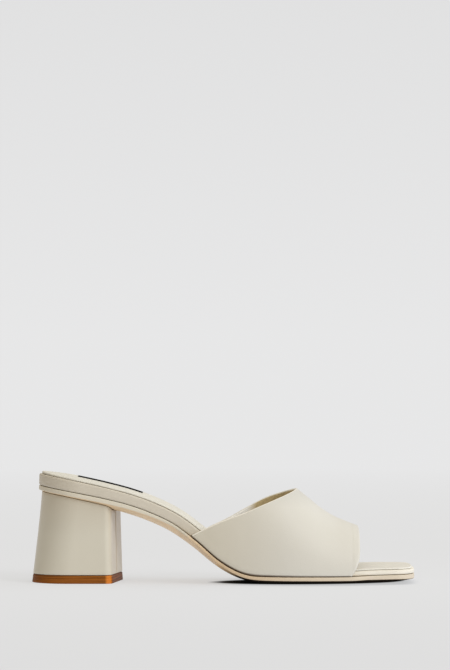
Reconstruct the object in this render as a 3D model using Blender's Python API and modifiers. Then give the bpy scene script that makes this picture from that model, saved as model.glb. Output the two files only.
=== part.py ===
"""Square-toe mule sandal with a block heel, as separate solids.

Metres, +Z up, toe towards +X, wearer's left towards +Y. It is a right shoe,
standing on the floor at Z = 0, with the middle of its footprint at the origin.
Lengths along the shoe are first measured from the back of the sole.
"""
import math
from collections import namedtuple

import bmesh
import bpy
from mathutils import Vector

# Sole: its length, the footbed's width at the ball, and how far the heel is lifted
SOLE_LENGTH = 0.2370
BALL_WIDTH = 0.0750
HEEL_RISE = 0.0561
TOE_SPRING = 0.0011
HEEL_ROUND = 0.0270
TOE_CORNER = 0.0110
TOE_BOW = 0.0014

# Thickness of each layer of the sole
OUTSOLE_DEPTH = 0.0062
OUTSOLE_EDGE = 0.0028
OUTSOLE_ROLL = 0.0005
FOOTBED_DEPTH = 0.0072
FOOTBED_ROUND = 0.0008
SOCK_EDGE = 0.0009
SOCK_DOME = 0.0014
SOCK_INSET = 0.0015
SOCK_ROUND = 0.0004

# Upper: one band over the instep
UPPER_WALL = 0.0020
UPPER_OUTER_LENGTH = 0.1068
UPPER_INNER_LENGTH = 0.1038
THROAT_DEPTH = 0.0396
INSTEP_RISE = 0.0540
TOE_SHOWING = 0.0348
FRONT_SETBACK = 0.0055
SHELF_RUN = 0.0150

# Heel block and the lift that it stands on
HEEL_BACK_INSET = 0.0019
HEEL_FLARE = 0.0056
HEEL_BREAST = 0.0485
HEEL_BREAST_FLARE = 0.0010
HEEL_TOP_WIDTH = 0.0500
HEEL_FOOT_WIDTH = 0.0435
HEEL_BACK_ROUND = 0.0240
HEEL_CORNER = 0.0045
HEEL_SEAT_SWING = math.radians(6.5)
HEEL_FOOT_SWING = math.radians(8.5)
LIFT_HEIGHT = 0.0051
LIFT_FLARE = 0.0007

# Clearance between neighbours that meet
SEAM = 0.0003

# Fullness of the band's cross-section: 2 is an ellipse, more is squarer
ARCH_FULLNESS = 2.25

# Share of the outsole's depth that the forefoot stands on
BALL_DEPTH_SHARE = 0.84

# How far the ridge of the band lies to the inner side, as a share of the ball width
RIDGE_SHIFT = 0.06

# Sections of the sole, back to front. station is a share of SOLE_LENGTH, rise of
# HEEL_RISE, spring of TOE_SPRING, outer and inner of BALL_WIDTH, edge of OUTSOLE_EDGE,
# depth of OUTSOLE_DEPTH, board of FOOTBED_DEPTH, dome of SOCK_DOME. lean is how far a
# section follows the slope of the sole, from 0, upright, to 1, square to it.
Section = namedtuple("Section", "station rise spring outer inner edge depth board dome lean")
SECTIONS = (
    Section(0.00, 1.000, 0.00, 0.360, 0.360, 1.00, 0.75, 1.00, 1.00, 0.35),
    Section(0.06, 0.956, 0.00, 0.361, 0.361, 1.00, 0.75, 0.99, 1.00, 0.45),
    Section(0.12, 0.909, 0.00, 0.368, 0.368, 1.00, 0.80, 0.96, 1.00, 0.60),
    Section(0.18, 0.857, 0.00, 0.373, 0.373, 0.98, 0.95, 0.91, 1.00, 0.75),
    Section(0.24, 0.792, 0.00, 0.363, 0.360, 0.91, 1.00, 0.88, 1.00, 0.90),
    Section(0.30, 0.701, 0.00, 0.347, 0.337, 0.73, 0.98, 0.87, 1.00, 1.00),
    Section(0.36, 0.577, 0.00, 0.341, 0.324, 0.59, 0.93, 0.85, 1.00, 1.00),
    Section(0.42, 0.389, 0.00, 0.360, 0.333, 0.59, 0.81, 0.85, 1.00, 1.00),
    Section(0.48, 0.172, 0.00, 0.400, 0.368, 0.67, 0.71, 0.72, 0.95, 1.00),
    Section(0.54, 0.036, 0.00, 0.445, 0.413, 0.77, 0.73, 0.58, 0.85, 1.00),
    Section(0.60, 0.002, 0.00, 0.480, 0.453, 0.86, 0.87, 0.47, 0.70, 1.00),
    Section(0.70, 0.000, 0.00, 0.509, 0.491, 0.91, 0.93, 0.43, 0.60, 1.00),
    Section(0.82, 0.000, 0.05, 0.482, 0.484, 0.92, 0.92, 0.41, 0.35, 1.00),
    Section(0.88, 0.000, 0.60, 0.456, 0.466, 0.94, 0.97, 0.41, 0.15, 1.00),
    Section(1.00, 0.000, 1.00, 0.385, 0.395, 1.00, 0.94, 0.41, 0.10, 1.00),
)

# Ridge of the last under the band, from the toe opening back. reach is a share of
# THROAT_DEPTH, and past 1 it runs behind the throat. rise is a share of INSTEP_RISE.
Ridge = namedtuple("Ridge", "reach rise")
RIDGES = (
    Ridge(0.0, 0.550),
    Ridge(0.2, 0.609),
    Ridge(0.4, 0.672),
    Ridge(0.6, 0.765),
    Ridge(0.8, 0.883),
    Ridge(1.0, 1.000),
    Ridge(1.3, 1.176),
    Ridge(1.8, 1.446),
    Ridge(2.3, 1.666),
    Ridge(2.8, 1.850),
)

# Topline, from its corner on the sole to the throat. reach is a share of that run,
# outer and inner are the climb on each side as shares of the whole climb.
Climb = namedtuple("Climb", "reach outer inner")
CLIMBS = (
    Climb(0.0, 0.000, 0.000),
    Climb(0.1, 0.120, 0.135),
    Climb(0.3, 0.333, 0.331),
    Climb(0.5, 0.505, 0.556),
    Climb(0.7, 0.703, 0.778),
    Climb(0.9, 0.900, 0.931),
    Climb(1.0, 1.000, 1.000),
)

# Powers of the curves: roundness under the sole, sweep of the band's front edge where it
# meets the sole, and hollow of the heel's back
UNDER_ROUND = 3
FRONT_SWEEP = 5.5
HEEL_HOLLOW = 1.15

# Share of the sock's dome that is left at its two ends
DOME_AT_ENDS = 0.35

# Facets: places across half a section, from the middle to the edge, and counts of steps
UNDER_PLACES = (0.0, 0.25, 0.50, 0.72, 0.86, 0.95, 1.0)
SOCK_PLACES = (0.0, 0.32, 0.62, 0.85, 0.97)
SEAT_SHRINKS = (0.8, 0.55, 0.3, 0.1)
FIRST_BACK_ANGLE = math.radians(9)
BACK_STEPS = 8
BODY_STEPS = 26
CORNER_STEPS = 5
BAND_ROWS = 18
BAND_COLUMNS = 30
HEEL_BACK_STEPS = 16
HEEL_CORNER_STEPS = 4
HEEL_BREAST_STEPS = 6
HEEL_LEVELS = 5

COLLECTION = "mid_heel_shoe"


def column_at(table, column, key, at):
    """Value of a column on a smooth curve through the rows, held past both ends."""
    places = [getattr(row, key) for row in table]
    values = [getattr(row, column) for row in table]
    if at <= places[0]:
        return values[0]
    if at >= places[-1]:
        return values[-1]
    index = max(i for i, place in enumerate(places[:-1]) if place <= at)
    gaps = [b - a for a, b in zip(places, places[1:])]
    chords = [(b - a) / gap for a, b, gap in zip(values, values[1:], gaps)]
    start_slope = row_slope(chords, gaps, index)
    end_slope = row_slope(chords, gaps, index + 1)
    gap = gaps[index]
    t = (at - places[index]) / gap
    start_weight = (1 + 2 * t) * (1 - t) ** 2
    end_weight = t * t * (3 - 2 * t)
    bend = gap * t * (1 - t) * ((1 - t) * start_slope - t * end_slope)
    return start_weight * values[index] + end_weight * values[index + 1] + bend


def row_slope(chords, gaps, index):
    """Slope at a row, flat where the column turns, so that the curve never overshoots."""
    if index == 0:
        return chords[0]
    if index == len(chords):
        return chords[-1]
    before, after = chords[index - 1], chords[index]
    if before * after <= 0:
        return 0.0
    mean = (before * gaps[index] + after * gaps[index - 1]) / (gaps[index] + gaps[index - 1])
    limit = 3 * min(abs(before), abs(after))
    return max(-limit, min(limit, mean))


def sole(column, x):
    """Column of the sole's table at a distance from its back."""
    return column_at(SECTIONS, column, "station", x / SOLE_LENGTH)


def seat_height(x):
    """Height of the outsole's top face, which footbed and upper sit on."""
    ball = OUTSOLE_DEPTH * BALL_DEPTH_SHARE
    return ball + sole("rise", x) * HEEL_RISE + sole("spring", x) * TOE_SPRING


def section_tilt(x):
    """Angle by which the section at x leans from upright."""
    step = SOLE_LENGTH / 1000
    slope = (seat_height(x + step) - seat_height(x - step)) / (2 * step)
    return math.atan(slope) * sole("lean", x)


def half_width(x, side, grow=0.0):
    """Half width of the footbed's outline, grown or shrunk all round by grow."""
    width = sole(side, x) * BALL_WIDTH + grow
    back_round = HEEL_ROUND + grow
    from_back = max(x + grow, 0.0)
    if from_back < back_round:
        width *= math.sqrt(1 - (1 - from_back / back_round) ** 2)
    corner = TOE_CORNER + grow
    from_front = max(SOLE_LENGTH + grow - x, 0.0)
    if from_front < corner:
        width -= corner - math.sqrt(corner ** 2 - (corner - from_front) ** 2)
    return width


def section_point(x, across, lift, grow=0.0):
    """Point on the section at x: across runs -1 outer edge to 1 inner edge, lift is its height."""
    side = "outer" if across < 0 else "inner"
    y = across * half_width(x, side, grow)
    near_toe = max(0.0, 1 - (SOLE_LENGTH - x) / (3 * TOE_CORNER))
    bow = TOE_BOW * across * across * near_toe
    tilt = section_tilt(x)
    z = seat_height(x) + math.cos(tilt) * lift
    return Vector((x - math.sin(tilt) * lift - bow, y, z))


def stations(grow=0.0):
    """Places of the sections: close together round the heel and at the toe's corners."""
    back_round = HEEL_ROUND + grow
    corner = TOE_CORNER + grow
    back = -grow
    front = SOLE_LENGTH + grow
    places = []
    for step in range(BACK_STEPS):
        angle = FIRST_BACK_ANGLE + (math.pi / 2 - FIRST_BACK_ANGLE) * step / BACK_STEPS
        places.append(back + back_round * (1 - math.cos(angle)))
    start = back + back_round
    end = front - corner
    for step in range(BODY_STEPS):
        places.append(start + (end - start) * step / BODY_STEPS)
    for step in range(CORNER_STEPS + 1):
        angle = math.pi / 2 * step / CORNER_STEPS
        places.append(end + corner * math.sin(angle))
    return places


def shelf(x):
    """How far the outsole stands out to carry the upper's wall."""
    width = UPPER_WALL + SEAM
    back_corner = SOLE_LENGTH - TOE_SHOWING - UPPER_OUTER_LENGTH
    front_corner = SOLE_LENGTH - TOE_SHOWING - FRONT_SETBACK
    entry = (x - back_corner) / SHELF_RUN + 1
    leave = (front_corner - x) / SHELF_RUN + 1
    share = max(0.0, min(1.0, entry, leave))
    return width * share * share * (3 - 2 * share)


def outsole_lift(x, across):
    """Height of the outsole's underside below the seat: thickest away from its edges."""
    edge = sole("edge", x) * OUTSOLE_EDGE
    depth = sole("depth", x) * OUTSOLE_DEPTH
    end = max(0.0, 1 - x / HEEL_ROUND, 1 - (SOLE_LENGTH - x) / (2 * TOE_CORNER))
    end = min(1.0, end)
    rim = math.sqrt(end * end + across * across * (1 - end * end))
    return -(edge + (depth - edge) * (1 - rim ** UNDER_ROUND))


def both_sides(places):
    """Places across a whole section, from the outer edge to the inner one."""
    return [-place for place in reversed(places)] + list(places[1:])


def outsole_ring(x):
    """Closed section of the outsole, ground flat where it meets the floor."""
    grow = shelf(x)
    under = []
    for across in both_sides(UNDER_PLACES):
        lift = outsole_lift(x, across)
        if abs(across) == 1.0:
            lift += OUTSOLE_ROLL
        point = section_point(x, across, lift, grow)
        point.z = max(point.z, 0.0)
        under.append(point)
    over = [section_point(x, across, 0.0, grow) for across in (1.0, 0.5, 0.0, -0.5, -1.0)]
    return under + over


def footbed_ring(x):
    """Closed section of the wrapped footbed, with its long edges rounded."""
    low = SEAM
    high = SEAM + sole("board", x) * FOOTBED_DEPTH
    inner = half_width(x, "inner")
    outer = half_width(x, "outer")
    inner_in = 1 - FOOTBED_ROUND / max(inner, 2 * FOOTBED_ROUND)
    outer_in = 1 - FOOTBED_ROUND / max(outer, 2 * FOOTBED_ROUND)
    profile = (
        (-outer_in, low),
        (0.0, low),
        (inner_in, low),
        (1.0, low + FOOTBED_ROUND),
        (1.0, high - FOOTBED_ROUND),
        (inner_in, high),
        (0.0, high),
        (-outer_in, high),
        (-1.0, high - FOOTBED_ROUND),
        (-1.0, low + FOOTBED_ROUND),
    )
    return [section_point(x, across, lift) for across, lift in profile]


def sock_ring(x):
    """Closed section of the padded sock, set in from the footbed's edge and domed."""
    low = 2 * SEAM + sole("board", x) * FOOTBED_DEPTH
    dome = sole("dome", x) * SOCK_DOME
    from_end = min(x - SOCK_INSET, SOLE_LENGTH - SOCK_INSET - x)
    dome *= min(1.0, DOME_AT_ENDS + from_end / HEEL_ROUND)
    profile = [(-1.0, low), (0.0, low), (1.0, low), (1.0, low + SOCK_EDGE - SOCK_ROUND)]
    for across in reversed(both_sides(SOCK_PLACES)):
        lift = low + SOCK_EDGE + dome * (1 - across * across)
        profile.append((across, lift))
    profile.append((-1.0, low + SOCK_EDGE - SOCK_ROUND))
    return [section_point(x, across, lift, -SOCK_INSET) for across, lift in profile]


def ridge_height(x):
    """Height of the last's ridge under the band."""
    reach = (SOLE_LENGTH - TOE_SHOWING - x) / THROAT_DEPTH
    return OUTSOLE_DEPTH * BALL_DEPTH_SHARE + column_at(RIDGES, "rise", "reach", reach) * INSTEP_RISE


def band_foot(x):
    """Height of the band's lower edge, just clear of the outsole."""
    return seat_height(x) + SEAM


def band_point(x, angle, side):
    """Point on the band's outer face: angle runs 0 at the sole to a quarter turn at the ridge."""
    ridge_y = RIDGE_SHIFT * BALL_WIDTH
    reach = sole(side, x) * BALL_WIDTH + SEAM + UPPER_WALL
    reach += ridge_y if side == "outer" else -ridge_y
    power = 2 / ARCH_FULLNESS
    across = reach * max(math.cos(angle), 0.0) ** power
    foot = band_foot(x)
    z = foot + (ridge_height(x) - foot) * math.sin(angle) ** power
    y = ridge_y - across if side == "outer" else ridge_y + across
    return Vector((x, y, z))


def topline(side, reach):
    """Place and arch angle of the topline at a share of the way from the sole to the throat."""
    length = UPPER_OUTER_LENGTH if side == "outer" else UPPER_INNER_LENGTH
    front = SOLE_LENGTH - TOE_SHOWING
    corner = front - length
    throat = front - THROAT_DEPTH
    x = corner + (throat - corner) * reach
    low = band_foot(corner)
    z = low + (ridge_height(throat) - low) * column_at(CLIMBS, side, "reach", reach)
    foot = band_foot(x)
    climb = max(0.0, min(1.0, (z - foot) / (ridge_height(x) - foot)))
    angle = math.asin(min(1.0, climb ** (ARCH_FULLNESS / 2)))
    return x, angle


def toe_line(angle):
    """Place of the toe opening's edge, set back where it meets the sole."""
    return SOLE_LENGTH - TOE_SHOWING - FRONT_SETBACK * (1 - math.sin(angle)) ** FRONT_SWEEP


def upper_point(girth, along):
    """Point of the band: girth 0 outer foot, 1 inner foot; along 0 topline, 1 toe opening."""
    side = "outer" if girth < 0.5 else "inner"
    share = 1 - abs(2 * girth - 1)
    back, angle = topline(side, math.sin(share * math.pi / 2))
    x = back + (toe_line(angle) - back) * along
    return band_point(x, angle, side)


def heel_outline(width, back, breast, swing):
    """Outline of the heel: round back, straight sides, breast swung to the outer side."""
    half = width / 2
    middle = back + HEEL_BACK_ROUND
    outline = []
    for step in range(HEEL_BACK_STEPS + 1):
        angle = math.pi / 2 + math.pi * step / HEEL_BACK_STEPS
        outline.append((middle + HEEL_BACK_ROUND * math.cos(angle), half * math.sin(angle)))
    centre = breast - HEEL_CORNER
    for step in range(HEEL_CORNER_STEPS + 1):
        angle = -math.pi / 2 + math.pi / 2 * step / HEEL_CORNER_STEPS
        x = centre + HEEL_CORNER * math.cos(angle)
        outline.append((x, HEEL_CORNER - half + HEEL_CORNER * math.sin(angle)))
    flat = half - HEEL_CORNER
    for step in range(1, HEEL_BREAST_STEPS):
        outline.append((breast, flat * (2 * step / HEEL_BREAST_STEPS - 1)))
    for step in range(HEEL_CORNER_STEPS + 1):
        angle = math.pi / 2 * step / HEEL_CORNER_STEPS
        x = centre + HEEL_CORNER * math.cos(angle)
        outline.append((x, half - HEEL_CORNER + HEEL_CORNER * math.sin(angle)))
    swung = []
    for x, y in outline:
        share = max(0.0, (x - middle) / (breast - middle))
        swung.append((x + y * math.tan(swing) * share, y))
    return swung


def under_outsole(x, y):
    """Height of the outsole's underside above a place on the floor."""
    station = x
    for _ in range(4):
        side = "outer" if y < 0 else "inner"
        across = min(1.0, abs(y) / half_width(station, side))
        lift = outsole_lift(station, across)
        station = x + math.sin(section_tilt(station)) * lift
    return seat_height(station) + math.cos(section_tilt(station)) * lift


def heel_rings():
    """Rings of the heel block from its foot up, then inwards over its cupped seat."""
    back = HEEL_BACK_INSET - HEEL_FLARE
    breast = HEEL_BREAST + HEEL_BREAST_FLARE
    foot = heel_outline(HEEL_FOOT_WIDTH, back, breast, HEEL_FOOT_SWING)
    seat = heel_outline(HEEL_TOP_WIDTH, HEEL_BACK_INSET, HEEL_BREAST, HEEL_SEAT_SWING)
    rings = []
    for level in range(HEEL_LEVELS + 1):
        share = level / HEEL_LEVELS
        curve = 1 - (1 - share) ** HEEL_HOLLOW
        ring = []
        for (foot_x, foot_y), (seat_x, seat_y) in zip(foot, seat):
            top = under_outsole(seat_x, seat_y) - SEAM
            low = LIFT_HEIGHT + SEAM
            x = foot_x + (seat_x - foot_x) * curve
            y = foot_y + (seat_y - foot_y) * curve
            ring.append(Vector((x, y, low + (top - low) * share)))
        rings.append(ring)
    middle = HEEL_BREAST / 2
    for shrink in SEAT_SHRINKS:
        ring = []
        for x, y in seat:
            near_x = middle + (x - middle) * shrink
            near_y = y * shrink
            ring.append(Vector((near_x, near_y, under_outsole(near_x, near_y) - SEAM)))
        rings.append(ring)
    return rings


def lift_rings():
    """Rings of the top lift, which goes on flaring to the floor."""
    back = HEEL_BACK_INSET - HEEL_FLARE
    breast = HEEL_BREAST + HEEL_BREAST_FLARE
    width = HEEL_FOOT_WIDTH + LIFT_FLARE
    upper_outline = heel_outline(HEEL_FOOT_WIDTH, back, breast, HEEL_FOOT_SWING)
    lower_outline = heel_outline(width, back - LIFT_FLARE, breast + LIFT_FLARE / 2, HEEL_FOOT_SWING)
    lower = [Vector((x, y, 0.0)) for x, y in lower_outline]
    upper = [Vector((x, y, LIFT_HEIGHT)) for x, y in upper_outline]
    return [lower, upper]


def loft(rings):
    """Closed solid through rings of equal count, with its two ends filled."""
    solid = bmesh.new()
    loops = [[solid.verts.new(point) for point in ring] for ring in rings]
    for loop, following in zip(loops, loops[1:]):
        for i in range(len(loop)):
            j = (i + 1) % len(loop)
            solid.faces.new((loop[i], loop[j], following[j], following[i]))
    solid.faces.new(reversed(loops[0]))
    solid.faces.new(loops[-1])
    bmesh.ops.remove_doubles(solid, verts=solid.verts, dist=1e-6)
    bmesh.ops.recalc_face_normals(solid, faces=solid.faces)
    return solid


def band():
    """Open outer face of the upper: a grid laid over the last."""
    surface = bmesh.new()
    bmesh.ops.create_grid(surface, x_segments=BAND_COLUMNS, y_segments=BAND_ROWS, size=1.0)
    for vertex in surface.verts:
        girth = (vertex.co.x + 1) / 2
        along = (1 - vertex.co.y) / 2
        vertex.co = upper_point(girth, along)
    return surface


def material(name, colour, roughness, coat=0.0):
    """Principled material of one part."""
    made = bpy.data.materials.new(name)
    made.use_nodes = True
    shader = made.node_tree.nodes["Principled BSDF"]
    shader.inputs["Base Color"].default_value = (*colour, 1.0)
    shader.inputs["Roughness"].default_value = roughness
    shader.inputs["Metallic"].default_value = 0.0
    shader.inputs["Coat Weight"].default_value = coat
    return made


def place(name, shape, finish, collection):
    """Object of one part, from a bmesh that it uses up."""
    mesh = bpy.data.meshes.new(name)
    shape.to_mesh(mesh)
    shape.free()
    mesh.materials.append(finish)
    mesh.shade_smooth()
    mesh.set_sharp_from_angle(angle=math.radians(40))
    made = bpy.data.objects.new(name, mesh)
    collection.objects.link(made)
    return made


def stand_at_origin(parts):
    """Move every part so that the middle of the shoe's footprint is the origin."""
    corners = [vertex.co for part in parts for vertex in part.data.vertices]
    middle_x = (min(c.x for c in corners) + max(c.x for c in corners)) / 2
    middle_y = (min(c.y for c in corners) + max(c.y for c in corners)) / 2
    for part in parts:
        for vertex in part.data.vertices:
            vertex.co -= Vector((middle_x, middle_y, 0.0))


def build():
    """Model the shoe."""
    for old in list(bpy.data.objects):
        bpy.data.objects.remove(old, do_unlink=True)
    collection = bpy.data.collections.new(COLLECTION)
    bpy.context.scene.collection.children.link(collection)

    cream = material("cream_leather", (0.73, 0.69, 0.60), 0.42, 0.1)
    wrap = material("cream_footbed_leather", (0.58, 0.52, 0.41), 0.55)
    lining = material("cream_sock_leather", (0.74, 0.70, 0.60), 0.5)
    tan = material("tan_outsole", (0.58, 0.42, 0.27), 0.5)
    covered = material("cream_heel_leather", (0.55, 0.49, 0.38), 0.38, 0.1)
    stacked = material("brown_top_lift", (0.22, 0.10, 0.03), 0.4)

    outsole = loft([outsole_ring(x) for x in stations()])
    footbed = loft([footbed_ring(x) for x in stations()])
    sock = loft([sock_ring(x) for x in stations(-SOCK_INSET)])
    upper = place("upper", band(), cream, collection)
    wall = upper.modifiers.new("wall", "SOLIDIFY")
    wall.thickness = UPPER_WALL
    wall.offset = -1.0
    wall.use_even_offset = True
    parts = [
        upper,
        place("outsole", outsole, tan, collection),
        place("footbed", footbed, wrap, collection),
        place("insole_sock", sock, lining, collection),
        place("heel_block", loft(heel_rings()), covered, collection),
        place("heel_top_lift", loft(lift_rings()), stacked, collection),
    ]
    stand_at_origin(parts)


build()
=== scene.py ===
"""Square-toe mule sandal with a block heel: its finished leather pieces, stage, light and camera.

Metres, +Z up, toe towards +X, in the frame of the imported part. The sole's layers, the band
over the instep and the heel are laid out again from the shoe's own sections, finer than the
solids, with rolled edges, seams and leather finishes.
"""
import math
from collections import namedtuple
from functools import lru_cache

import bmesh
import bpy
from bpy.props import FloatProperty, FloatVectorProperty, PointerProperty
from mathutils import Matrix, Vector


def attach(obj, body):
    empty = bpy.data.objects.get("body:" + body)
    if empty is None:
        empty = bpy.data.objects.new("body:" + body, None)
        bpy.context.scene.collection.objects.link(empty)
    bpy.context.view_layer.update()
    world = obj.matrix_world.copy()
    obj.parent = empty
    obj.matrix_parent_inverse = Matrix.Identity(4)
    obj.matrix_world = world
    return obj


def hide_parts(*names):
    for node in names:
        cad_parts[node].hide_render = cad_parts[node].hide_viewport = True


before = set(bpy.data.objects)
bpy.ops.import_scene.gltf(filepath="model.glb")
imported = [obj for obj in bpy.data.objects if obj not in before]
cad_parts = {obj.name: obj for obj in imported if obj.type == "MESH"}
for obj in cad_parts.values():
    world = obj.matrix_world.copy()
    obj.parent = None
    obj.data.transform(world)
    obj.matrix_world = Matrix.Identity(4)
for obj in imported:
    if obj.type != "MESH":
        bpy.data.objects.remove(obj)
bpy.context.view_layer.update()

bl_info = {
    "name": "Mule Sandal Finish",
    "version": (1, 0, 0),
    "blender": (4, 5, 0),
    "location": "View3D > Sidebar > Sandal",
    "description": "Finished pieces, stage and light of a square-toe mule sandal",
    "category": "Add Mesh",
}

# Where the solids' own lengths, measured from the back of the sole, lie in the frame
SOLE_BACK = -0.11631
SOLE_MIDDLE = 0.000672

# Sole
SOLE_LENGTH = 0.2370
BALL_WIDTH = 0.0750
HEEL_RISE = 0.0561
TOE_SPRING = 0.0011
HEEL_ROUND = 0.0270
TOE_CORNER = 0.0110
TOE_BOW = 0.0014
OUTSOLE_DEPTH = 0.0062
OUTSOLE_EDGE = 0.0028
FOOTBED_DEPTH = 0.0072
SOCK_EDGE = 0.0009
SOCK_DOME = 0.0014
SOCK_INSET = 0.0015
SEAM = 0.0003
BALL_DEPTH_SHARE = 0.84
UNDER_ROUND = 3
DOME_AT_ENDS = 0.35

# Upper
UPPER_WALL = 0.0020
UPPER_OUTER_LENGTH = 0.1068
UPPER_INNER_LENGTH = 0.1038
THROAT_DEPTH = 0.0396
INSTEP_RISE = 0.0540
TOE_SHOWING = 0.0348
FRONT_SETBACK = 0.0055
SHELF_RUN = 0.0150
ARCH_FULLNESS = 2.25
RIDGE_SHIFT = 0.06
FRONT_SWEEP = 5.5

# Heel
HEEL_BACK_INSET = 0.0019
HEEL_FLARE = 0.0056
HEEL_BREAST = 0.0485
HEEL_BREAST_FLARE = 0.0010
HEEL_TOP_WIDTH = 0.0500
HEEL_FOOT_WIDTH = 0.0435
HEEL_BACK_ROUND = 0.0240
HEEL_CORNER = 0.0045
HEEL_SEAT_SWING = math.radians(6.5)
HEEL_FOOT_SWING = math.radians(8.5)
HEEL_HOLLOW = 1.15
LIFT_HEIGHT = 0.0051
LIFT_FLARE = 0.0007

# Sections of the sole, back to front, as shares of the sizes above
Section = namedtuple("Section", "station rise spring outer inner edge depth board dome lean")
SECTIONS = (
    Section(0.00, 1.000, 0.00, 0.360, 0.360, 1.00, 0.75, 1.00, 1.00, 0.35),
    Section(0.06, 0.956, 0.00, 0.361, 0.361, 1.00, 0.75, 0.99, 1.00, 0.45),
    Section(0.12, 0.909, 0.00, 0.368, 0.368, 1.00, 0.80, 0.96, 1.00, 0.60),
    Section(0.18, 0.857, 0.00, 0.373, 0.373, 0.98, 0.95, 0.91, 1.00, 0.75),
    Section(0.24, 0.792, 0.00, 0.363, 0.360, 0.91, 1.00, 0.88, 1.00, 0.90),
    Section(0.30, 0.701, 0.00, 0.347, 0.337, 0.73, 0.98, 0.87, 1.00, 1.00),
    Section(0.36, 0.577, 0.00, 0.341, 0.324, 0.59, 0.93, 0.85, 1.00, 1.00),
    Section(0.42, 0.389, 0.00, 0.360, 0.333, 0.59, 0.81, 0.85, 1.00, 1.00),
    Section(0.48, 0.172, 0.00, 0.400, 0.368, 0.67, 0.71, 0.72, 0.95, 1.00),
    Section(0.54, 0.036, 0.00, 0.445, 0.413, 0.77, 0.73, 0.58, 0.85, 1.00),
    Section(0.60, 0.002, 0.00, 0.480, 0.453, 0.86, 0.87, 0.47, 0.70, 1.00),
    Section(0.70, 0.000, 0.00, 0.509, 0.491, 0.91, 0.93, 0.43, 0.60, 1.00),
    Section(0.82, 0.000, 0.05, 0.482, 0.484, 0.92, 0.92, 0.41, 0.35, 1.00),
    Section(0.88, 0.000, 0.60, 0.456, 0.466, 0.94, 0.97, 0.41, 0.15, 1.00),
    Section(1.00, 0.000, 1.00, 0.385, 0.395, 1.00, 0.94, 0.41, 0.10, 1.00),
)

# Ridge of the last under the band, from the toe opening back
Ridge = namedtuple("Ridge", "reach rise")
RIDGES = (
    Ridge(0.0, 0.550),
    Ridge(0.2, 0.609),
    Ridge(0.4, 0.672),
    Ridge(0.6, 0.765),
    Ridge(0.8, 0.883),
    Ridge(1.0, 1.000),
    Ridge(1.3, 1.176),
    Ridge(1.8, 1.446),
    Ridge(2.3, 1.666),
    Ridge(2.8, 1.850),
)

# Topline, from its corner on the sole to the throat
Climb = namedtuple("Climb", "reach outer inner")
CLIMBS = (
    Climb(0.0, 0.000, 0.000),
    Climb(0.1, 0.120, 0.135),
    Climb(0.3, 0.333, 0.331),
    Climb(0.5, 0.505, 0.556),
    Climb(0.7, 0.703, 0.778),
    Climb(0.9, 0.900, 0.931),
    Climb(1.0, 1.000, 1.000),
)

# Corners closer than this become one
WELD = 1e-6


def number_property(name, description, default, low, high, unit="LENGTH"):
    """Property that holds a number, a length where no other unit is given."""
    return FloatProperty(name=name, description=description, default=default, min=low, max=high,
                         unit=unit)


def colour_property(name, description, default, brightest=1.0):
    """Property that holds a colour."""
    return FloatVectorProperty(name=name, description=description, default=default, size=3,
                               min=0.0, max=brightest, subtype="COLOR")


class SandalSizes(bpy.types.PropertyGroup):
    """Sizes of the finish that a user would change."""
    board_roll: number_property(
        "Footbed edge roll", "Radius of the wrapped footbed's edges", 0.0010, 0.0002, 0.0015)
    sock_roll: number_property(
        "Sock edge roll", "Radius of the padded sock's edge", 0.0007, 0.0002, 0.0012)
    outsole_roll: number_property(
        "Outsole edge roll", "Radius of the outsole's edges", 0.0006, 0.0002, 0.0012)
    hem_width: number_property(
        "Hem width", "Width of the folded hem along the toe opening", 0.0045, 0.002, 0.010)
    hem_swell: number_property(
        "Hem swell", "How far the folded hem stands out", 0.00009, 0.0, 0.001)
    breast_seam: number_property(
        "Heel seam depth", "Depth of the seam down the heel's breast", 0.0007, 0.0, 0.001)
    patch_length: number_property(
        "Patch length", "Length of the blank patch on the sock", 0.0388, 0.01, 0.06)
    patch_width: number_property(
        "Patch width", "Width of the blank patch on the sock", 0.0175, 0.004, 0.03)


class SandalColours(bpy.types.PropertyGroup):
    """Colours of the finishes."""
    cream: colour_property("Cream leather", "Outer face of the band", (0.69, 0.665, 0.605))
    # Darker, warmer cream at the band's heel end is painted shade
    waist: colour_property(
        "Cream leather at the waist", "The band's outer face towards the heel",
        (0.66, 0.615, 0.515))
    # Darker than the band's cream: painted shade on the heel
    heel: colour_property(
        "Heel leather", "Leather drawn over the heel block", (0.665, 0.624, 0.522))
    wrap: colour_property(
        "Footbed wrap", "Leather round the footbed's edge", (0.650, 0.592, 0.495))
    # Paler tone at the toe is painted light
    wrap_toe_painted_light: colour_property(
        "Footbed wrap at the toe", "The same leather, paler at the toe", (0.89, 0.84, 0.74))
    sock: colour_property("Sock leather", "Top of the padded sock", (0.750, 0.722, 0.650))
    # Paler tone at the toe is painted light
    sock_toe_painted_light: colour_property(
        "Sock leather at the toe", "The same leather, paler at the toe", (0.82, 0.795, 0.735))
    lining: colour_property("Lining", "Inside of the band", (0.62, 0.50, 0.29))
    tan: colour_property("Outsole", "Underside of the outsole", (0.88, 0.67, 0.435))
    edge: colour_property(
        "Painted edge", "Edge of the outsole under the heel and the waist", (0.70, 0.645, 0.535))
    stack: colour_property("Top lift", "Stacked top lift", (0.245, 0.078, 0.010))
    patch: colour_property("Patch", "Blank patch on the sock", (0.012, 0.012, 0.012))
    floor: colour_property("Backdrop", "Seamless pale backdrop", (0.80, 0.810, 0.860))


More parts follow.
